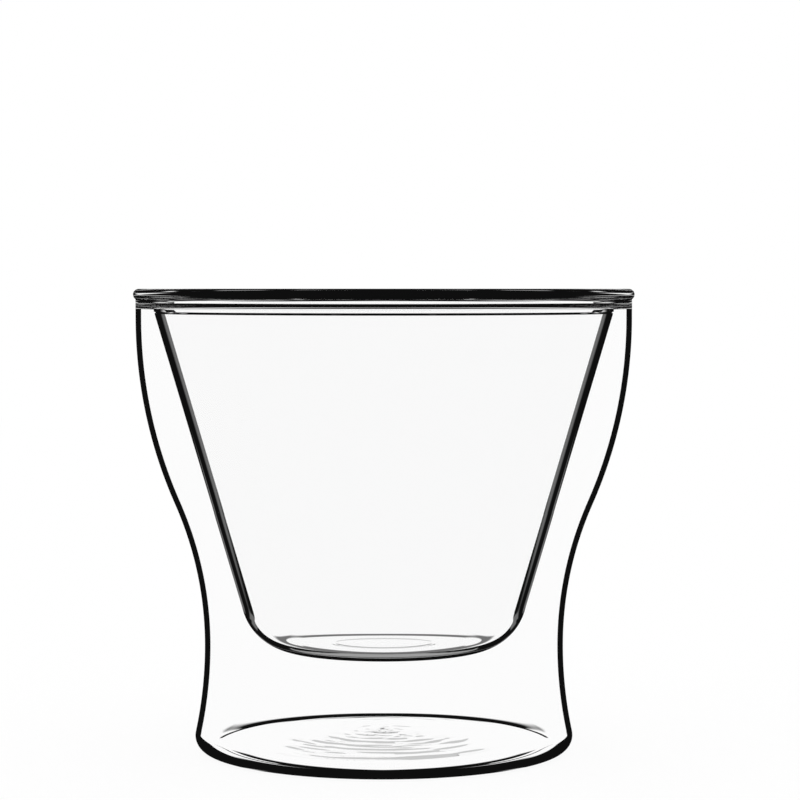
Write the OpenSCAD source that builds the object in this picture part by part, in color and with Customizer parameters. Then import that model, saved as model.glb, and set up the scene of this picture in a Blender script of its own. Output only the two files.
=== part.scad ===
// Double walled glass cup: a conical inner cup hangs in a waisted outer shell.
// The two are fused at the rim, and a domed disc closes the shell at the foot.
// Millimetres, +Z up. The origin is on the cup's axis, on the surface that it stands on.

/* [Rim] */
// Outer diameter across the rim bead
rim_d = 90; // [84:0.5:98]
// Height of the cup, from the table to the top of the rim
cup_h = 83.2; // [76:0.1:92]
// Height of the fused rim above the seams where the two walls end
rim_h = 4; // [3.9:0.1:6]
// Solid glass between the top of the rim and the top of the air gap
rim_solid = 2.45; // [1.8:0.05:2.5]
// How far the bead stands out past the neck below it
bead_out = 0.45; // [0.1:0.05:0.8]
// Rounding radius of the bead
bead_round = 1; // [0.8:0.05:1.3]
// How steeply the crown of the rim falls from the bead to the lip, in degrees
crown_slope = 27; // [15:1:32]
// Rounding radius of the lip on the drinking side
lip_round = 0.7; // [0.5:0.05:1]

/* [Outer shell] */
// Wall thickness of the outer shell
shell_wall = 1; // [0.9:0.05:1.4]
// Straight neck below the rim seam, before the shoulder curves in
neck_h = 1.4; // [0.5:0.1:4]
// Outer diameter at the waist
waist_d = 64.7; // [60:0.1:66]
// Height of the waist above the table
waist_z = 19.2; // [15:0.1:24]
// How far the foot spreads out past the waist
foot_spread = 1.75; // [1.2:0.05:3]
// Rounding radius under the foot
foot_round = 2.75; // [2.3:0.05:3.2]
// Width of the flat ring that the cup stands on
foot_flat = 1.4; // [0.8:0.1:2]
// Rounding radius inside the foot, where the wall turns into the base
inner_round = 2; // [1.5:0.1:3]

/* [Inner cup] */
// Air gap between the two walls at the rim seam
rim_gap = 2.25; // [1.6:0.05:2.6]
// Wall thickness of the inner cup
cup_wall = 1.75; // [1.2:0.05:2]
// Thickness of the inner cup's floor
floor_wall = 1.5; // [1.2:0.1:2]
// Height of the drinking floor above the table, at the middle
floor_z = 19.25; // [14:0.05:28]
// Drinking diameter at the level of the floor, where wall and floor would meet without rounding
floor_d = 43.7; // [40:0.1:46]
// Rounding radius between the drinking wall and the floor
corner_round = 7.3; // [5:0.1:8]
// Rounding radius of the same corner outside
corner_outside = 10.1; // [8.5:0.1:11]
// Radius of the floor's shallow dish
dish_radius = 400; // [200:1:800]

/* [Base] */
// Thickness of the base disc at the middle
base_wall = 1.8; // [1.4:0.1:2.4]
// Rise of the base's underside at the middle
dome_rise = 1.6; // [1.2:0.1:2.2]
// Thickness of the base over the inner edge of the standing ring
base_edge = 1.2; // [1:0.05:1.6]
// How far inside the standing ring the base disc is fused into the foot
weld_in = 2.45; // [1:0.05:4]
// Diameter of the vent hole in the base disc
vent_d = 6; // [3:0.1:9]
// How far the seal's drop swells past the base disc on each side
seal_swell = 0.1; // [0.05:0.05:0.6]

/* [Hidden] */
// Share of the shell's S-curve radii that belongs to the shoulder, the rest is the waist's
shoulder_share = 0.566;
// How far a straight stretch of an arc may stand off the true curve
arc_error = 0.004;
$fn = 120;

// Rim and neck
rim_r = rim_d / 2;
neck_r = rim_r - bead_out;
seam_z = cup_h - rim_h;
gap_outer_r = neck_r - shell_wall;
gap_inner_r = gap_outer_r - rim_gap;
bead_centre = [rim_r - bead_round, cup_h - bead_round];

// The shell's S-curve is two tangent arcs, from the upright neck to the upright waist
waist_r = waist_d / 2;
shoulder_z = seam_z - neck_h;
bend_angle = 2 * atan((neck_r - waist_r) / (shoulder_z - waist_z));
both_radii = (shoulder_z - waist_z) / sin(bend_angle);
shoulder_radius = both_radii * shoulder_share;
waist_radius = both_radii - shoulder_radius;
shoulder_centre = [neck_r - shoulder_radius, shoulder_z];
waist_centre = [waist_r + waist_radius, waist_z];

// Below the waist one arc flares out to the foot's rounding and is tangent to it
foot_r = waist_r + foot_spread;
foot_centre = [foot_r - foot_round, foot_round];
flare_drop = waist_z - foot_round;
flare_radius = (foot_spread ^ 2 + flare_drop ^ 2) / (2 * foot_spread) - foot_round;
flare_centre = [waist_r + flare_radius, waist_z];
flare_angle = asin(flare_drop / (flare_radius + foot_round));

// The base's two faces dome up from the inner edge of the standing ring
ring_r = foot_centre.x - foot_flat;
under_radius = (ring_r ^ 2 + dome_rise ^ 2) / (2 * dome_rise);
top_rise = dome_rise + base_wall - base_edge;
dome_radius = (ring_r ^ 2 + top_rise ^ 2) / (2 * top_rise);
under_centre = [0, dome_rise - under_radius];
top_centre = [0, dome_rise + base_wall - dome_radius];

// Inside the foot one rounding is tangent to the flared wall and to the base's top face
inner_centre = crossing(top_centre, dome_radius + inner_round,
    flare_centre, flare_radius + shell_wall + inner_round);
inner_wall_angle = atan2(flare_centre.y - inner_centre.y, flare_centre.x - inner_centre.x);
inner_base_angle = atan2(inner_centre.y - top_centre.y, inner_centre.x);
weld_r = ring_r - weld_in;
vent_r = vent_d / 2;

// The inner cup's drinking face is a cone, which the rim's drinking side carries on
cone_angle = cone_half_angle(4);
wall_across = cup_wall / cos(cone_angle);
dish_centre_z = floor_z + dish_radius;

// The wall's slant depends on its thickness across, and that on the slant, so a few passes settle it
function cone_half_angle(passes) =
    let (
        last = passes == 0 ? 0 : cone_half_angle(passes - 1),
        drinking_top_r = gap_inner_r - cup_wall / cos(last)
    )
    atan((drinking_top_r - floor_d / 2) / (seam_z - floor_z));

// Where two circles cross, on the left of the way from the first centre to the second
function crossing(first, first_radius, second, second_radius) =
    let (
        way = second - first,
        length = norm(way),
        along = (first_radius ^ 2 - second_radius ^ 2 + length ^ 2) / (2 * length),
        aside = sqrt(first_radius ^ 2 - along ^ 2)
    )
    first + (along * way + aside * [-way.y, way.x]) / length;

// Points along an arc, from just after its start to its end, angles in degrees
function arc(centre, radius, start, end) =
    let (
        step = 2 * acos(1 - arc_error / radius),
        count = ceil(abs(end - start) / step)
    )
    [for (i = [1 : count])
        let (angle = start + (end - start) * i / count)
        centre + radius * [cos(angle), sin(angle)]];

function reversed(points) = [for (i = [len(points) - 1 : -1 : 0]) points[i]];

// The point of a dome's face at a distance from the axis
function dome_point(centre, radius, r) = centre + [r, sqrt(radius ^ 2 - r ^ 2)];

// A dome's face from one distance off the axis to another
function dome_face(centre, radius, from_r, to_r) = concat(
    [dome_point(centre, radius, from_r)],
    arc(centre, radius, acos(from_r / radius), acos(to_r / radius))
);

// Radius of the slanted drinking face at a height
function drinking_r(z) = floor_d / 2 + (z - floor_z) * tan(cone_angle);

// One face of the shell from the rim seam down to the waist, inset into the wall
function upper_face(inset) = concat(
    [[neck_r - inset, seam_z], [neck_r - inset, shoulder_z]],
    arc(shoulder_centre, shoulder_radius - inset, 0, -bend_angle),
    arc(waist_centre, waist_radius + inset, 180 - bend_angle, 180)
);

// The outside of the foot, from the waist round to the weld under the base
function foot_outside() = concat(
    arc(flare_centre, flare_radius, 180, 180 + flare_angle),
    arc(foot_centre, foot_round, flare_angle, -90),
    dome_face(under_centre, under_radius, ring_r, weld_r)
);

// The inside of the foot, from the waist round to the weld on top of the base
function foot_inside() = concat(
    arc(flare_centre, flare_radius + shell_wall, 180, 180 + inner_wall_angle),
    arc(inner_centre, inner_round, inner_wall_angle, inner_base_angle - 180),
    arc(top_centre, dome_radius, inner_base_angle, acos(weld_r / dome_radius))
);

// Centre of the corner's arc, tangent to the slanted wall and to the dish of the floor
function corner_centre(side, radius, dish) =
    let (
        slope = tan(cone_angle),
        offset = drinking_r(0) + side - radius / cos(cone_angle),
        a = slope ^ 2 + 1,
        half_b = offset * slope - dish_centre_z,
        c = offset ^ 2 + dish_centre_z ^ 2 - (dish - radius) ^ 2,
        z = (-half_b - sqrt(half_b ^ 2 - a * c)) / a
    )
    [offset + slope * z, z];

// One face of the inner cup from the rim seam down to the axis
// side is how far the wall lies outside the drinking face, measured level
function cup_face(side, radius, dish) =
    let (
        corner = corner_centre(side, radius, dish),
        meet_angle = atan2(corner.y - dish_centre_z, corner.x)
    )
    concat(
        [
            [drinking_r(seam_z) + side, seam_z],
            corner + radius * [cos(cone_angle), -sin(cone_angle)]
        ],
        arc(corner, radius, -cone_angle, meet_angle),
        arc([0, dish_centre_z], dish, meet_angle, -90)
    );

// Centre of the lip's arc, tangent to the sloped crown and to the drinking face
function lip_centre(crown) =
    let (
        fall = tan(crown_slope),
        lean = tan(cone_angle),
        foot = drinking_r(0) + lip_round / cos(cone_angle),
        z = (crown.y - (crown.x - foot) * fall - lip_round / cos(crown_slope)) / (1 - lean * fall)
    )
    [foot + lean * z, z];

// One swollen face of the vent seal, from the vent hole's edge at height z to the axis
function drop_face(z, swell) =
    let (
        radius = (vent_r ^ 2 + seal_swell ^ 2) / (2 * seal_swell),
        spread = asin(vent_r / radius),
        centre = [0, z + swell * (seal_swell - radius)]
    )
    concat([[vent_r, z]], arc(centre, radius, swell * (90 - spread), swell * 90));

module outer_shell() {
    color("lightblue", 0.4)
        rotate_extrude()
            polygon(concat(
                upper_face(0),
                foot_outside(),
                reversed(foot_inside()),
                reversed(upper_face(shell_wall))
            ));
}

module inner_cup() {
    color("azure", 0.4)
        rotate_extrude()
            polygon(concat(
                cup_face(wall_across, corner_outside, dish_radius + floor_wall),
                reversed(cup_face(0, corner_round, dish_radius))
            ));
}

module rim_bead() {
    neck_angle = -acos((neck_r - bead_centre.x) / bead_round);
    crown_angle = 90 + crown_slope;
    crown = bead_centre + bead_round * [cos(crown_angle), sin(crown_angle)];
    lip = lip_centre(crown);
    arch_centre = [(gap_inner_r + gap_outer_r) / 2, cup_h - rim_solid - rim_gap / 2];
    color("lightcyan", 0.4)
        rotate_extrude()
            polygon(concat(
                [[neck_r, seam_z], bead_centre + bead_round * [cos(neck_angle), sin(neck_angle)]],
                arc(bead_centre, bead_round, neck_angle, crown_angle),
                [lip + lip_round * [cos(crown_angle), sin(crown_angle)]],
                arc(lip, lip_round, crown_angle, 180 - cone_angle),
                [[drinking_r(seam_z), seam_z], [gap_inner_r, seam_z], [gap_inner_r, arch_centre.y]],
                arc(arch_centre, rim_gap / 2, 180, 0),
                [[gap_outer_r, seam_z]]
            ));
}

module base_disc() {
    color("powderblue", 0.4)
        rotate_extrude()
            polygon(concat(
                dome_face(under_centre, under_radius, vent_r, weld_r),
                reversed(dome_face(top_centre, dome_radius, vent_r, weld_r))
            ));
}

module vent_seal() {
    under_z = dome_point(under_centre, under_radius, vent_r).y;
    top_z = dome_point(top_centre, dome_radius, vent_r).y;
    color("paleturquoise", 0.4)
        rotate_extrude()
            polygon(concat(
                drop_face(under_z, -1),
                reversed(drop_face(top_z, 1))
            ));
}

outer_shell();
inner_cup();
rim_bead();
base_disc();
vent_seal();
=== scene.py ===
import math

import bmesh
import bpy
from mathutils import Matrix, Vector


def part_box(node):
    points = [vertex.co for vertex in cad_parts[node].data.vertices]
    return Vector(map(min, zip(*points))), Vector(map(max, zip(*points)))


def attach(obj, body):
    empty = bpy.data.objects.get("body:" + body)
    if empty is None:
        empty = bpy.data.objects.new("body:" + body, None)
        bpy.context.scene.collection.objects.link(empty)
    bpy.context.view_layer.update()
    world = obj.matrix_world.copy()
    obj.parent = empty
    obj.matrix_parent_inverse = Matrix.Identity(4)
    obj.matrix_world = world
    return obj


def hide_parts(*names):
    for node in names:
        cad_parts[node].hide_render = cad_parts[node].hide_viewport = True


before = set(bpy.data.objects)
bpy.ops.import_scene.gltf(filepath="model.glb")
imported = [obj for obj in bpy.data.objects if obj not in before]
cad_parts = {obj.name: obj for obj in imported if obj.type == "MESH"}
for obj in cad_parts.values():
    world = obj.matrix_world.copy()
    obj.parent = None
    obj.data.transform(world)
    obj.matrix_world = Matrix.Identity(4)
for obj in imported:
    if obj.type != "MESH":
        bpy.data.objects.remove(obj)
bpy.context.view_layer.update()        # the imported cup, in metres, standing on z = 0
print("frame loaded:", ", ".join(sorted(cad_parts)))

# where the seams of the cup lie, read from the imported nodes
rimLow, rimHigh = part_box("rim_bead")
rimRadius = rimHigh[0]
cupHeight = rimHigh[2]
seamHeight = rimLow[2]
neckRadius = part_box("outer_shell")[1][0]
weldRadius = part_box("base_disc")[1][0]
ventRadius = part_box("vent_seal")[1][0]


# camera at the photo's angle, just above the rim
photoView = {
    "distance": 0.48707,
    "aboveRim": 0.0003,
    "lens": 121.57,
    "sensor": 36,
    "clip": (0.01, 50),
    "aimRight": 0.0029,      # the cup stands a little left of the middle
    "aimHeight": 0.06316,
}


def makeCamera():
    view = photoView
    data = bpy.data.cameras.new("photoCamera")
    data.lens = view["lens"]
    data.sensor_width = view["sensor"]
    data.clip_start, data.clip_end = view["clip"]
    camera = bpy.data.objects.new("photoCamera", data)
    camera.location = (0, -view["distance"], cupHeight + view["aboveRim"])
    aim = Vector((view["aimRight"], 0, view["aimHeight"]))
    camera.rotation_euler = (aim - camera.location).to_track_quat("-Z", "Y").to_euler()
    bpy.context.scene.collection.objects.link(camera)
    bpy.context.scene.camera = camera
    print("camera at", [round(v, 4) for v in camera.location])


# not one real room: light that only passes the glass sees a white studio under a dark ceiling,
# mirrored light sees a dim room with soft lights, and the angles are fitted to the photo's bands;
# the table's dark edge shows black through the glass from above, square to the sides that have it;
# angles in degrees, and most pairs are where a soft edge begins and ends
studio = {
    "white": (1.0, 1.0, 1.0, 1.0),
    "dim": 0.005,
    "sides": 8,                 # the room has the same lights on each of its sides
    "ceiling": (13, 16),        # height where the white backdrop ends
    "tableEdge": (-19.2, -18),  # depth where the table's dark edge begins, before every other side
    "edgeLean": (1.1, 4.5),     # how fast that edge rises to each side, and how far out
    "edgeWidth": (8, 12),
    "cupVeil": 0.18,            # light that the edge still gets where it is seen through the cup
    "tableUnder": (-40, -33),   # all round, light bent further down is lost
    "panel": (1, 7),            # half width of each side's white panel
    "strip": (14, 18),          # half width of the grey screen behind it
    "stripLight": 0.15,
    "stripHeights": ((-15, -13), (-7.4, -6)),
    "screenFoot": (-24, -16),   # both end at this depth
    "tableGlow": 0.35,          # table in front of each side, seen mirrored from inside
    "tableHeights": ((-58, -52), (-32, -26)),
    "tableWidth": (10, 16),
    "glintTurn": (9, 14),       # window light that is mirrored again and again along the rim
    "glintHeights": ((-31, -29), (-24, -21)),
    "flowGlow": 0.6,            # light caught between the faces of the base, where they ripple
    "flowHeights": ((25, 32), (62, 70)),
    "once": 0.5,                # a ray counts as mirrored or scattered from its first time on
    "shellFaces": 3.5,          # beyond this many glass faces a ray has been inside the shell
    "cupFaces": 6.5,            # and beyond this many it has been through the cup
    "floorSize": 2.4,
    "floorDrop": 0.00005,       # keeps the floor clear of the standing ring
    "floorGlow": 0.93,          # share of the floor that glows as a light table
}


def mathNode(tree, operation, first, second=0.0):
    node = tree.nodes.new("ShaderNodeMath")
    node.operation = operation
    for socket, value in zip(node.inputs, (first, second)):
        if isinstance(value, (int, float)):
            socket.default_value = value
        else:
            tree.links.new(value, socket)
    return node.outputs[0]


def rampNode(tree, value, degrees, start, end):
    node = tree.nodes.new("ShaderNodeMapRange")
    node.interpolation_type = "SMOOTHSTEP"
    low, high = (math.radians(a) for a in degrees)
    for name, number in (("From Min", low), ("From Max", high), ("To Min", start), ("To Max", end)):
        node.inputs[name].default_value = number
    tree.links.new(value, node.inputs["Value"])
    return node.outputs["Result"]


def windowNode(tree, value, heights):
    # 1 between two heights, with soft edges
    above = rampNode(tree, value, heights[0], 0.0, 1.0)
    below = rampNode(tree, value, heights[1], 1.0, 0.0)
    return mathNode(tree, "MULTIPLY", above, below)


def chooseNode(tree, factor, first, second):
    node = tree.nodes.new("ShaderNodeMix")
    node.data_type = "FLOAT"
    tree.links.new(factor, node.inputs["Factor"])
    tree.links.new(first, node.inputs["A"])
    tree.links.new(second, node.inputs["B"])
    return node.outputs["Result"]


def mixShader(tree, share, first, second):
    node = tree.nodes.new("ShaderNodeMixShader")
    if isinstance(share, float):
        node.inputs["Fac"].default_value = share
    else:
        tree.links.new(share, node.inputs["Fac"])
    tree.links.new(first.outputs[0], node.inputs[1])
    tree.links.new(second.outputs[0], node.inputs[2])
    return node


def newMaterial(name):
    material = bpy.data.materials.new(name)
    material.use_nodes = True
    material.node_tree.nodes.clear()
    return material, material.node_tree


def showShader(tree, shader):
    out = tree.nodes.new("ShaderNodeOutputMaterial")
    tree.links.new(shader.outputs[0], out.inputs["Surface"])


def passingLight(tree, square, rise, through):
    # white up to the ceiling and down to the table's edge, which is paler through the cup
    sky = rampNode(tree, rise, studio["ceiling"], 1.0, 0.0)
    rate, reach = studio["edgeLean"]
    lean = mathNode(tree, "MULTIPLY", mathNode(tree, "MINIMUM", square, math.radians(reach)), rate)
    edge = rampNode(tree, mathNode(tree, "SUBTRACT", rise, lean), studio["tableEdge"], 1.0, 0.0)
    ahead = rampNode(tree, square, studio["edgeWidth"], 1.0, 0.0)
    inCup = mathNode(tree, "GREATER_THAN", through, studio["cupFaces"])
    veil = mathNode(tree, "MULTIPLY", inCup, studio["cupVeil"])
    ahead = mathNode(tree, "MULTIPLY", ahead, mathNode(tree, "SUBTRACT", 1.0, veil))
    under = rampNode(tree, rise, studio["tableUnder"], 1.0, 0.0)
    shade = mathNode(tree, "MAXIMUM", mathNode(tree, "MULTIPLY", ahead, edge), under)
    return mathNode(tree, "MULTIPLY", sky, mathNode(tree, "SUBTRACT", 1.0, shade))


def insideLight(tree, side, rise):
    # what the cup's wall mirrors: a panel and a grey screen on each side, and the lit table before it
    panel = rampNode(tree, side, studio["panel"], 1.0, 0.0)
    strip = rampNode(tree, side, studio["strip"], studio["stripLight"], 0.0)
    strip = mathNode(tree, "MULTIPLY", strip, windowNode(tree, rise, studio["stripHeights"]))
    foot = rampNode(tree, rise, studio["screenFoot"], 0.0, 1.0)
    screen = mathNode(tree, "MULTIPLY", mathNode(tree, "MAXIMUM", panel, strip), foot)
    near = windowNode(tree, rise, studio["tableHeights"])
    width = rampNode(tree, side, studio["tableWidth"], studio["tableGlow"], 0.0)
    return mathNode(tree, "MAXIMUM", screen, mathNode(tree, "MULTIPLY", near, width))


def caughtLight(tree, side, rise):
    # a glint along the rim, and a grey glow in the base
    beside = rampNode(tree, side, studio["glintTurn"], 0.0, 1.0)
    glint = mathNode(tree, "MULTIPLY", beside, windowNode(tree, rise, studio["glintHeights"]))
    flow = windowNode(tree, rise, studio["flowHeights"])
    flow = mathNode(tree, "MULTIPLY", flow, studio["flowGlow"])
    return mathNode(tree, "MAXIMUM", glint, flow)


def makeWorld():
    world = bpy.data.worlds.new("whiteStudio")
    world.use_nodes = True
    tree = world.node_tree
    nodes, links = tree.nodes, tree.links
    nodes.clear()
    out = nodes.new("ShaderNodeOutputWorld")
    path = nodes.new("ShaderNodeLightPath")
    place = nodes.new("ShaderNodeTexCoord")
    split = nodes.new("ShaderNodeSeparateXYZ")
    links.new(place.outputs["Generated"], split.inputs[0])
    rise = mathNode(tree, "ARCSINE", split.outputs["Z"])
    turn = mathNode(tree, "ARCTAN2", split.outputs["X"], split.outputs["Y"])
    turn = mathNode(tree, "ABSOLUTE", turn)
    side = mathNode(tree, "PINGPONG", turn, math.pi / studio["sides"])
    square = mathNode(tree, "PINGPONG", turn, 2 * math.pi / studio["sides"])
    # plain white for the camera and for what lights the floor
    lit = mathNode(tree, "GREATER_THAN", path.outputs["Diffuse Depth"], studio["once"])
    plain = mathNode(tree, "MAXIMUM", path.outputs["Is Camera Ray"], lit)
    through = path.outputs["Transmission Depth"]
    passing = mathNode(tree, "MAXIMUM", passingLight(tree, square, rise, through), plain)
    # light mirrored by the cup inside the shell, and light caught in the rim and the base
    inner = insideLight(tree, side, rise)
    caught = caughtLight(tree, side, rise)
    mirrored = mathNode(tree, "GREATER_THAN", path.outputs["Glossy Depth"], studio["once"])
    deep = mathNode(tree, "GREATER_THAN", through, studio["shellFaces"])
    guided = mathNode(tree, "GREATER_THAN", path.outputs["Glossy Depth"], glassLook["mirrorLimit"])
    shown = mathNode(tree, "MULTIPLY", deep, inner)
    shown = chooseNode(tree, guided, shown, caught)
    shown = chooseNode(tree, mirrored, passing, shown)
    light = nodes.new("ShaderNodeBackground")
    light.inputs["Color"].default_value = studio["white"]
    links.new(mathNode(tree, "MAXIMUM", shown, studio["dim"]), light.inputs["Strength"])
    links.new(light.outputs[0], out.inputs["Surface"])
    bpy.context.scene.world = world
    print("studio lit,", len(nodes), "nodes")


def makeFloor():
    half = studio["floorSize"] / 2
    low = -studio["floorDrop"]
    corners = [(-half, -half, low), (half, -half, low), (half, half, low), (-half, half, low)]
    mesh = bpy.data.meshes.new("floor")
    mesh.from_pydata(corners, [], [(0, 1, 2, 3)])
    floor = bpy.data.objects.new("floor", mesh)
    bpy.context.scene.collection.objects.link(floor)
    material, tree = newMaterial("paleFloor")
    matt = tree.nodes.new("ShaderNodeBsdfDiffuse")
    matt.inputs["Color"].default_value = studio["white"]
    glow = tree.nodes.new("ShaderNodeEmission")
    glow.inputs["Color"].default_value = studio["white"]
    pale = mixShader(tree, studio["floorGlow"], matt, glow)
    # light inside the glass passes on to the backdrop
    path = tree.nodes.new("ShaderNodeLightPath")
    clear = tree.nodes.new("ShaderNodeBsdfTransparent")
    showShader(tree, mixShader(tree, path.outputs["Is Camera Ray"], clear, pale))
    mesh.materials.append(material)
    print("floor laid")


# outlines are lists of (radius, height) from formulas
glassSteps = {
    "arc": math.radians(3),
    "run": 0.0010,
    "fine": 0.0002,
    "facets": 256,
    "kink": math.radians(12),  # sharper edges than this stay sharp
    "spine": 0.0010,           # radius of the circle that carries the outline round
    "weldMark": 0.99,
    "merge": 1e-6,
    "doubles": 1e-7,
    "rounds": 5,               # enough for the cone's angle to settle
}


def arcPoints(centre, radius, start, end, run=glassSteps["run"]):
    stepAngle = min(glassSteps["arc"], run / radius)
    span = math.radians(end - start)
    count = max(2, math.ceil(abs(span) / stepAngle))
    angles = [math.radians(start) + span * i / count for i in range(1, count + 1)]
    return [(centre[0] + radius * math.cos(a), centre[1] + radius * math.sin(a)) for a in angles]


def runPoints(start, end, run=glassSteps["run"]):
    count = max(1, math.ceil(math.dist(start, end) / run))
    return [tuple(a + (b - a) * i / count for a, b in zip(start, end)) for i in range(1, count + 1)]


def crossing(first, firstRadius, second, secondRadius):
    # where two circles cross, on the left of the way from the first to the second
    wayX, wayZ = second[0] - first[0], second[1] - first[1]
    length = math.hypot(wayX, wayZ)
    along = (firstRadius ** 2 - secondRadius ** 2 + length ** 2) / (2 * length)
    aside = math.sqrt(firstRadius ** 2 - along ** 2)
    x = first[0] + (along * wayX - aside * wayZ) / length
    z = first[1] + (along * wayZ + aside * wayX) / length
    return x, z


def spacedRadii(start, end):
    count = math.ceil(abs(end - start) / glassSteps["fine"])
    return [start + (end - start) * i / count for i in range(count + 1)]


def flagged(points, weldEnds, wavy=False):
    # each point with a mark for the fused seams and how far the flow ripples show there
    last = len(points) - 1
    welds = {0: "start" in weldEnds, last: "end" in weldEnds}
    ripple = [max(0, 1 - (r / weldRadius) ** 4) * wavy for r, z in points]
    return [(r, z, float(welds.get(i, False)), ripple[i]) for i, (r, z) in enumerate(points)]


shellSizes = {
    "wall": 0.0010,
    "neck": 0.0014,          # straight stretch below the rim seam
    "waistRadius": 0.03235,
    "waistHeight": 0.0192,
    "footRadius": 0.0341,
    "footRound": 0.00275,
    "footFlat": 0.0014,
    "innerRound": 0.0020,
    "shoulderShare": 0.566,  # share of the upper curve's radii that the shoulder has
}

baseSizes = {
    "rise": 0.0016,
    "wall": 0.0018,
    "edge": 0.0012,          # glass over the inner edge of the standing ring
}


def flare():
    s = shellSizes
    out = s["footRadius"] - s["waistRadius"]
    drop = s["waistHeight"] - s["footRound"]
    arc = (out ** 2 + drop ** 2) / (2 * out) - s["footRound"]
    angle = math.degrees(math.asin(drop / (arc + s["footRound"])))
    return (s["waistRadius"] + arc, s["waistHeight"]), arc, angle


def underDome():
    s = shellSizes
    ring = s["footRadius"] - s["footRound"] - s["footFlat"]
    arc = (ring ** 2 + baseSizes["rise"] ** 2) / (2 * baseSizes["rise"])
    return (0, baseSizes["rise"] - arc), arc, ring


def topDome():
    middle = baseSizes["rise"] + baseSizes["wall"]
    rise = middle - baseSizes["edge"]
    arc = (underDome()[2] ** 2 + rise ** 2) / (2 * rise)
    return (0, middle - arc), arc


def domeHeight(centre, arc, radius):
    return centre[1] + math.sqrt(arc ** 2 - radius ** 2)


def upperFace(inset):
    s = shellSizes
    shoulderHeight = seamHeight - s["neck"]
    drop = shoulderHeight - s["waistHeight"]
    bend = 2 * math.atan((neckRadius - s["waistRadius"]) / drop)
    bothRadii = drop / math.sin(bend)
    shoulderArc = bothRadii * s["shoulderShare"]
    waistArc = bothRadii - shoulderArc
    bend = math.degrees(bend)
    top = (neckRadius - inset, seamHeight)
    points = [top] + runPoints(top, (neckRadius - inset, shoulderHeight))
    points += arcPoints((neckRadius - shoulderArc, shoulderHeight), shoulderArc - inset, 0, -bend)
    points += arcPoints((s["waistRadius"] + waistArc, s["waistHeight"]), waistArc + inset, 180 - bend, 180)
    return points


def shellOutline():
    s = shellSizes
    centre, arc, angle = flare()
    under, underArc, ring = underDome()
    top, topArc = topDome()
    inner = crossing(top, topArc + s["innerRound"], centre, arc + s["wall"] + s["innerRound"])
    wallAngle = math.degrees(math.atan2(centre[1] - inner[1], centre[0] - inner[0]))
    baseAngle = math.degrees(math.atan2(inner[1] - top[1], inner[0]))
    footCentre = (s["footRadius"] - s["footRound"], s["footRound"])
    outside = upperFace(0)
    outside += arcPoints(centre, arc, 180, 180 + angle)
    outside += arcPoints(footCentre, s["footRound"], angle, -90)
    outside += runPoints(outside[-1], (ring, 0), glassSteps["fine"])
    outside += [(r, domeHeight(under, underArc, r)) for r in spacedRadii(ring, weldRadius)[1:]]
    inside = upperFace(s["wall"])
    inside += arcPoints(centre, arc + s["wall"], 180, 180 + wallAngle)
    inside += arcPoints(inner, s["innerRound"], wallAngle, baseAngle - 180)
    inside += [(r, domeHeight(top, topArc, r)) for r in spacedRadii(inside[-1][0], weldRadius)[1:]]
    return flagged(outside, ("start", "end")) + flagged(inside, ("start", "end"))[::-1]


cupSizes = {
    "wall": 0.00175,
    "floorWall": 0.0015,
    "floorHeight": 0.01925,
    "floorRadius": 0.02185,  # where the slanted wall would meet the floor's level
    "cornerRound": 0.0073,
    "cornerOutside": 0.0101,
    "dishArc": 0.400,
    "rimGap": 0.00225,
    "ringRadius": 0.0094,    # faint ring left on the floor
    "ringWidth": 0.0007,
    "ringHeight": 0.00005,
    "grooveWidth": 0.0004,   # fused seam under the rim
    "grooveDepth": 0.00030,
}


def coneAngle():
    c = cupSizes
    angle = 0
    for i in range(glassSteps["rounds"]):
        top = neckRadius - shellSizes["wall"] - c["rimGap"] - c["wall"] / math.cos(angle)
        angle = math.atan((top - c["floorRadius"]) / (seamHeight - c["floorHeight"]))
    return angle


def drinkingRadius(height):
    return cupSizes["floorRadius"] + (height - cupSizes["floorHeight"]) * math.tan(coneAngle())


def cupFace(side, cornerArc, dishArc):
    # the wall, the corner that rounds into the floor, and the dished floor
    angle = coneAngle()
    slope = math.tan(angle)
    dishCentre = cupSizes["floorHeight"] + cupSizes["dishArc"]
    offset = drinkingRadius(0) + side - cornerArc / math.cos(angle)
    a = slope ** 2 + 1
    halfB = offset * slope - dishCentre
    c = offset ** 2 + dishCentre ** 2 - (dishArc - cornerArc) ** 2
    cornerHeight = (-halfB - math.sqrt(halfB ** 2 - a * c)) / a
    corner = (offset + slope * cornerHeight, cornerHeight)
    meet = math.degrees(math.atan2(corner[1] - dishCentre, corner[0]))
    slant = math.degrees(angle)
    top = (drinkingRadius(seamHeight) + side, seamHeight)
    wallEnd = (corner[0] + cornerArc * math.cos(angle), corner[1] - cornerArc * math.sin(angle))
    points = [top] + runPoints(top, wallEnd)
    points += arcPoints(corner, cornerArc, -slant, meet)
    points += arcPoints((0, dishCentre), dishArc, meet, -90, glassSteps["fine"])
    points[-1] = (0, points[-1][1])
    return points


def floorRing(radius):
    c = cupSizes
    return c["ringHeight"] * math.exp(-((radius - c["ringRadius"]) / c["ringWidth"]) ** 2)


def cupOutline():
    c = cupSizes
    across = c["wall"] / math.cos(coneAngle())
    outer = cupFace(across, c["cornerOutside"], c["dishArc"] + c["floorWall"])
    # a v groove runs round just under the seam
    half = c["grooveWidth"] / 2
    lean = half * math.tan(coneAngle())
    top = outer[0][0]
    groove = [(top - lean - c["grooveDepth"], seamHeight - half), (top - 2 * lean, seamHeight - 2 * half)]
    outer = flagged(outer[:1] + groove + outer[1:], ("start",))
    inner = [(r, z + floorRing(r)) for r, z in cupFace(0, c["cornerRound"], c["dishArc"])]
    return outer[::-1] + flagged(inner, ("start",))


rimSizes = {
    "beadRound": 0.0010,
    "lipRound": 0.0007,
    "crownSlope": 27,        # degrees that the crown falls towards the lip
    "solid": 0.00245,        # glass above the air gap
}


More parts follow.
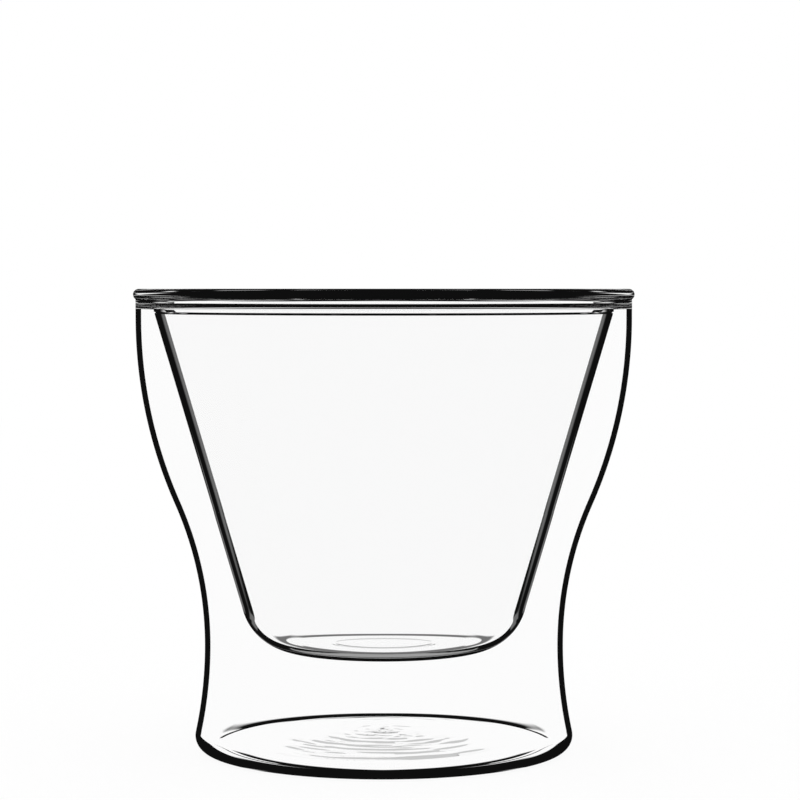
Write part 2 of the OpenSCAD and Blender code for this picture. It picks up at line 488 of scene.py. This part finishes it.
def rimOutline():
    bead, reach, slant = rimSizes["beadRound"], rimSizes["lipRound"], rimSizes["crownSlope"]
    beadCentre = (rimRadius - bead, cupHeight - bead)
    neckAngle = -math.acos((neckRadius - beadCentre[0]) / bead)
    beadStart = (neckRadius, beadCentre[1] + bead * math.sin(neckAngle))
    fall, tilt = math.radians(slant), coneAngle()
    crown = (beadCentre[0] - bead * math.sin(fall), beadCentre[1] + bead * math.cos(fall))
    foot = drinkingRadius(0) + reach / math.cos(tilt)
    height = crown[1] - (crown[0] - foot) * math.tan(fall) - reach / math.cos(fall)
    height /= 1 - math.tan(tilt) * math.tan(fall)
    lip = (foot + math.tan(tilt) * height, height)
    crownEnd = (lip[0] - reach * math.sin(fall), lip[1] + reach * math.cos(fall))
    gapOuter = neckRadius - shellSizes["wall"]
    gapInner = gapOuter - cupSizes["rimGap"]
    archHeight = cupHeight - rimSizes["solid"] - cupSizes["rimGap"] / 2
    start = (neckRadius, seamHeight)
    side = [start] + runPoints(start, beadStart)
    side += arcPoints(beadCentre, bead, math.degrees(neckAngle), 90 + slant)
    side += runPoints(side[-1], crownEnd)
    side += arcPoints(lip, reach, 90 + slant, 180 - math.degrees(tilt))
    side += runPoints(side[-1], (drinkingRadius(seamHeight), seamHeight))
    arch = [(gapInner, seamHeight)]
    arch += runPoints(arch[-1], (gapInner, archHeight))
    arch += arcPoints(((gapInner + gapOuter) / 2, archHeight), cupSizes["rimGap"] / 2, 180, 0)
    arch += runPoints(arch[-1], (gapOuter, seamHeight))
    return flagged(side, ("start", "end")) + flagged(arch, ("start", "end"))


def discOutline():
    radii = spacedRadii(ventRadius, weldRadius)
    underCentre, underArc, ring = underDome()
    topCentre, topArc = topDome()
    under = flagged([(r, domeHeight(underCentre, underArc, r)) for r in radii], ("start", "end"))
    top = flagged([(r, domeHeight(topCentre, topArc, r)) for r in radii], ("start", "end"), True)
    return under + top[::-1]


sealSizes = {
    "swell": 0.00004,        # how far the drop bulges, above and below
}


def sealOutline():
    radii = spacedRadii(0, ventRadius)
    underCentre, underArc, ring = underDome()
    topCentre, topArc = topDome()
    swell = [sealSizes["swell"] * (1 - (r / ventRadius) ** 2) ** 2 for r in radii]
    under = [(r, domeHeight(underCentre, underArc, r) - s) for r, s in zip(radii, swell)]
    top = [(r, domeHeight(topCentre, topArc, r) + s) for r, s in zip(radii, swell)]
    return flagged(under, ("end",)) + flagged(top, ("end",), True)[::-1]


glassLook = {
    "colour": (0.993, 0.993, 0.993, 1),
    "roughness": 0.0,
    "bending": 1.47,
    "outsideGloss": 0.06,    # share of the full mirror on faces met from the air
    "plainMirror": 0.85,     # weaker mirroring than this is left out
    "mirrorLimit": 2.5,      # a ray mirrored more often passes straight on
}


def makeGlass(name):
    material, tree = newMaterial(name)
    bend = tree.nodes.new("ShaderNodeBsdfRefraction")
    bend.inputs["IOR"].default_value = glassLook["bending"]
    gloss = tree.nodes.new("ShaderNodeBsdfGlossy")
    for shader in (bend, gloss):
        shader.inputs["Color"].default_value = glassLook["colour"]
        shader.inputs["Roughness"].default_value = glassLook["roughness"]
    mirror = tree.nodes.new("ShaderNodeFresnel")
    mirror.inputs["IOR"].default_value = glassLook["bending"]
    strong = tree.nodes.new("ShaderNodeMapRange")
    strong.inputs["From Min"].default_value = glassLook["plainMirror"]
    tree.links.new(mirror.outputs[0], strong.inputs["Value"])
    side = tree.nodes.new("ShaderNodeNewGeometry")
    share = tree.nodes.new("ShaderNodeMapRange")
    share.inputs["To Min"].default_value = glassLook["outsideGloss"]
    tree.links.new(side.outputs["Backfacing"], share.inputs["Value"])
    glassy = mixShader(tree, mathNode(tree, "MULTIPLY", strong.outputs[0], share.outputs[0]), bend, gloss)
    path = tree.nodes.new("ShaderNodeLightPath")
    limit = mathNode(tree, "GREATER_THAN", path.outputs["Glossy Depth"], glassLook["mirrorLimit"])
    clear = tree.nodes.new("ShaderNodeBsdfTransparent")
    showShader(tree, mixShader(tree, limit, glassy, clear))
    return material


def makeWeld():
    # fused faces inside the glass aren't seen
    material, tree = newMaterial("fusedSeam")
    showShader(tree, tree.nodes.new("ShaderNodeBsdfTransparent"))
    return material


rippleLook = {
    "Ring Height": 0.000006,
    "Ring Spacing": 0.0026,
    "Ring Reach": 0.015,     # the rings fade beyond this radius
    "Streak Height": 0.00008,
    "Streak Scale": 400.0,   # streaks per metre outwards from the axis
    "Streak Lobes": 1.5,     # how often they break off round the axis
    "Seed": 3.0,
}


def addRipples(tree, given, mesh):
    # rings and streaks left by the flow of the melted glass, where the outline asks for them
    nodes, links = tree.nodes, tree.links
    ripple = nodes.new("GeometryNodeInputNamedAttribute")
    ripple.data_type = "FLOAT"
    ripple.inputs["Name"].default_value = "ripple"
    place = nodes.new("GeometryNodeInputPosition")
    flat = nodes.new("ShaderNodeVectorMath")
    flat.operation = "MULTIPLY"
    flat.inputs[1].default_value = (1, 1, 0)
    links.new(place.outputs[0], flat.inputs[0])
    length = nodes.new("ShaderNodeVectorMath")
    length.operation = "LENGTH"
    links.new(flat.outputs[0], length.inputs[0])
    far = length.outputs["Value"]
    # noise that runs long round the axis and short outwards
    way = nodes.new("ShaderNodeVectorMath")
    way.operation = "NORMALIZE"
    links.new(flat.outputs[0], way.inputs[0])
    around = nodes.new("ShaderNodeVectorMath")
    around.operation = "SCALE"
    links.new(way.outputs[0], around.inputs[0])
    links.new(given.outputs["Streak Lobes"], around.inputs["Scale"])
    split = nodes.new("ShaderNodeSeparateXYZ")
    links.new(around.outputs[0], split.inputs[0])
    polar = nodes.new("ShaderNodeCombineXYZ")
    links.new(split.outputs["X"], polar.inputs["X"])
    links.new(split.outputs["Y"], polar.inputs["Y"])
    links.new(mathNode(tree, "MULTIPLY", far, given.outputs["Streak Scale"]), polar.inputs["Z"])
    noise = nodes.new("ShaderNodeTexNoise")
    noise.noise_dimensions = "4D"
    noise.inputs["Scale"].default_value = 1.0
    noise.inputs["Detail"].default_value = 1.0
    links.new(polar.outputs[0], noise.inputs["Vector"])
    links.new(given.outputs["Seed"], noise.inputs["W"])
    bump = mathNode(tree, "SUBTRACT", noise.outputs[0], 0.5)
    # the same noise makes the rings uneven
    turns = mathNode(tree, "ADD", mathNode(tree, "DIVIDE", far, given.outputs["Ring Spacing"]), bump)
    wave = mathNode(tree, "SINE", mathNode(tree, "MULTIPLY", turns, 2 * math.pi))
    share = mathNode(tree, "DIVIDE", far, given.outputs["Ring Reach"])
    fade = mathNode(tree, "SUBTRACT", 1.0, mathNode(tree, "POWER", share, 4.0))
    wave = mathNode(tree, "MULTIPLY", wave, mathNode(tree, "MAXIMUM", fade, 0.0))
    rings = mathNode(tree, "MULTIPLY", wave, given.outputs["Ring Height"])
    streaks = mathNode(tree, "MULTIPLY", bump, given.outputs["Streak Height"])
    height = mathNode(tree, "ADD", rings, streaks)
    offset = nodes.new("ShaderNodeCombineXYZ")
    links.new(mathNode(tree, "MULTIPLY", height, ripple.outputs["Attribute"]), offset.inputs["Z"])
    move = nodes.new("GeometryNodeSetPosition")
    links.new(mesh, move.inputs["Geometry"])
    links.new(offset.outputs[0], move.inputs["Offset"])
    return move.outputs["Geometry"]


def makeLatheTree():
    tree = bpy.data.node_groups.new("glassLathe", "GeometryNodeTree")
    tree.is_modifier = True
    face = tree.interface
    face.new_socket("Outline", in_out="INPUT", socket_type="NodeSocketGeometry")
    face.new_socket("Facets", in_out="INPUT", socket_type="NodeSocketInt")
    face.new_socket("Glass", in_out="INPUT", socket_type="NodeSocketMaterial")
    face.new_socket("Seam", in_out="INPUT", socket_type="NodeSocketMaterial")
    for name in rippleLook:
        face.new_socket(name, in_out="INPUT", socket_type="NodeSocketFloat")
    face.new_socket("Piece", in_out="OUTPUT", socket_type="NodeSocketGeometry")
    nodes, links = tree.nodes, tree.links
    given = nodes.new("NodeGroupInput")
    made = nodes.new("NodeGroupOutput")
    # the outline is swept round a small circle, and meets itself
    outline = nodes.new("GeometryNodeMeshToCurve")
    circle = nodes.new("GeometryNodeCurvePrimitiveCircle")
    circle.inputs["Radius"].default_value = glassSteps["spine"]
    upright = nodes.new("GeometryNodeSetCurveNormal")
    upright.mode = "Z_UP"
    sweep = nodes.new("GeometryNodeCurveToMesh")
    merge = nodes.new("GeometryNodeMergeByDistance")
    merge.inputs["Distance"].default_value = glassSteps["merge"]
    links.new(given.outputs["Outline"], outline.inputs["Mesh"])
    links.new(given.outputs["Facets"], circle.inputs["Resolution"])
    links.new(circle.outputs["Curve"], upright.inputs["Curve"])
    links.new(upright.outputs["Curve"], sweep.inputs["Curve"])
    links.new(outline.outputs["Curve"], sweep.inputs["Profile Curve"])
    links.new(sweep.outputs["Mesh"], merge.inputs["Geometry"])
    # faces between two marked points are fused seams
    weld = nodes.new("GeometryNodeInputNamedAttribute")
    weld.data_type = "FLOAT"
    weld.inputs["Name"].default_value = "weld"
    onWeld = nodes.new("FunctionNodeCompare")
    onWeld.data_type = "FLOAT"
    onWeld.operation = "GREATER_THAN"
    onWeld.inputs[1].default_value = glassSteps["weldMark"]
    links.new(weld.outputs["Attribute"], onWeld.inputs[0])
    smooth = nodes.new("GeometryNodeSetShadeSmooth")
    flat = nodes.new("GeometryNodeSetShadeSmooth")
    flat.inputs["Shade Smooth"].default_value = False
    links.new(addRipples(tree, given, merge.outputs["Geometry"]), smooth.inputs["Geometry"])
    links.new(smooth.outputs["Geometry"], flat.inputs["Geometry"])
    links.new(onWeld.outputs["Result"], flat.inputs["Selection"])
    realize = nodes.new("GeometryNodeRealizeInstances")
    glass = nodes.new("GeometryNodeSetMaterial")
    seam = nodes.new("GeometryNodeSetMaterial")
    links.new(flat.outputs["Geometry"], realize.inputs["Geometry"])
    links.new(realize.outputs["Geometry"], glass.inputs["Geometry"])
    links.new(given.outputs["Glass"], glass.inputs["Material"])
    links.new(glass.outputs["Geometry"], seam.inputs["Geometry"])
    links.new(onWeld.outputs["Result"], seam.inputs["Selection"])
    links.new(given.outputs["Seam"], seam.inputs["Material"])
    links.new(seam.outputs["Geometry"], made.inputs["Piece"])
    print("lathe tree ready,", len(nodes), "nodes")
    return tree


def lathePiece(name, outline, closed, glass):
    mesh = bpy.data.meshes.new(name + "Outline")
    count = len(outline)
    edges = [(i, i + 1) for i in range(count - 1)]
    if closed:
        edges.append((count - 1, 0))
    mesh.from_pydata([(p[0] - glassSteps["spine"], -p[1], 0) for p in outline], edges, [])
    for mark, column in (("weld", 2), ("ripple", 3)):
        values = mesh.attributes.new(mark, "FLOAT", "POINT")
        values.data.foreach_set("value", [p[column] for p in outline])
    draft = bpy.data.objects.new(name + "Draft", mesh)
    bpy.context.scene.collection.objects.link(draft)
    turn = draft.modifiers.new("lathe", "NODES")
    turn.node_group = latheTree
    inputs = [item for item in latheTree.interface.items_tree if item.in_out == "INPUT"]
    keys = {item.name: item.identifier for item in inputs}
    turn[keys["Facets"]] = glassSteps["facets"]
    turn[keys["Glass"]] = glass
    turn[keys["Seam"]] = seamMaterial
    for key, value in rippleLook.items():
        turn[keys[key]] = value
    bpy.context.view_layer.update()
    turned = draft.evaluated_get(bpy.context.evaluated_depsgraph_get())
    shaped = bpy.data.meshes.new_from_object(turned)
    shaped.name = name
    bpy.data.objects.remove(draft)
    work = bmesh.new()
    work.from_mesh(shaped)
    bmesh.ops.remove_doubles(work, verts=work.verts, dist=glassSteps["doubles"])
    bmesh.ops.recalc_face_normals(work, faces=work.faces)
    openEdges = sum(1 for e in work.edges if len(e.link_faces) != 2)
    work.to_mesh(shaped)
    work.free()
    shaped.set_sharp_from_angle(angle=glassSteps["kink"])
    piece = bpy.data.objects.new(name, shaped)
    bpy.context.scene.collection.objects.link(piece)
    print(name, len(shaped.polygons), "faces,", openEdges, "open edges", [m.name for m in shaped.materials])
    return piece


makeCamera()
makeWorld()
makeFloor()
latheTree = makeLatheTree()
seamMaterial = makeWeld()
glass = makeGlass("clearGlass")
pieces = [
    ("outerShell", shellOutline(), True, "outer_shell", "shell_glass"),
    ("innerCup", cupOutline(), False, "inner_cup", "cup_glass"),
    ("rimBead", rimOutline(), True, "rim_bead", "rim_glass"),
    ("baseDisc", discOutline(), True, "base_disc", "base_glass"),
    ("ventSeal", sealOutline(), False, "vent_seal", "seal_glass"),
]
for name, outline, closed, node, slot in pieces:
    piece = lathePiece(name, outline, closed, glass)
    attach(piece, "root")
    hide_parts(node)

bpy.context.scene.view_settings.view_transform = "Standard"
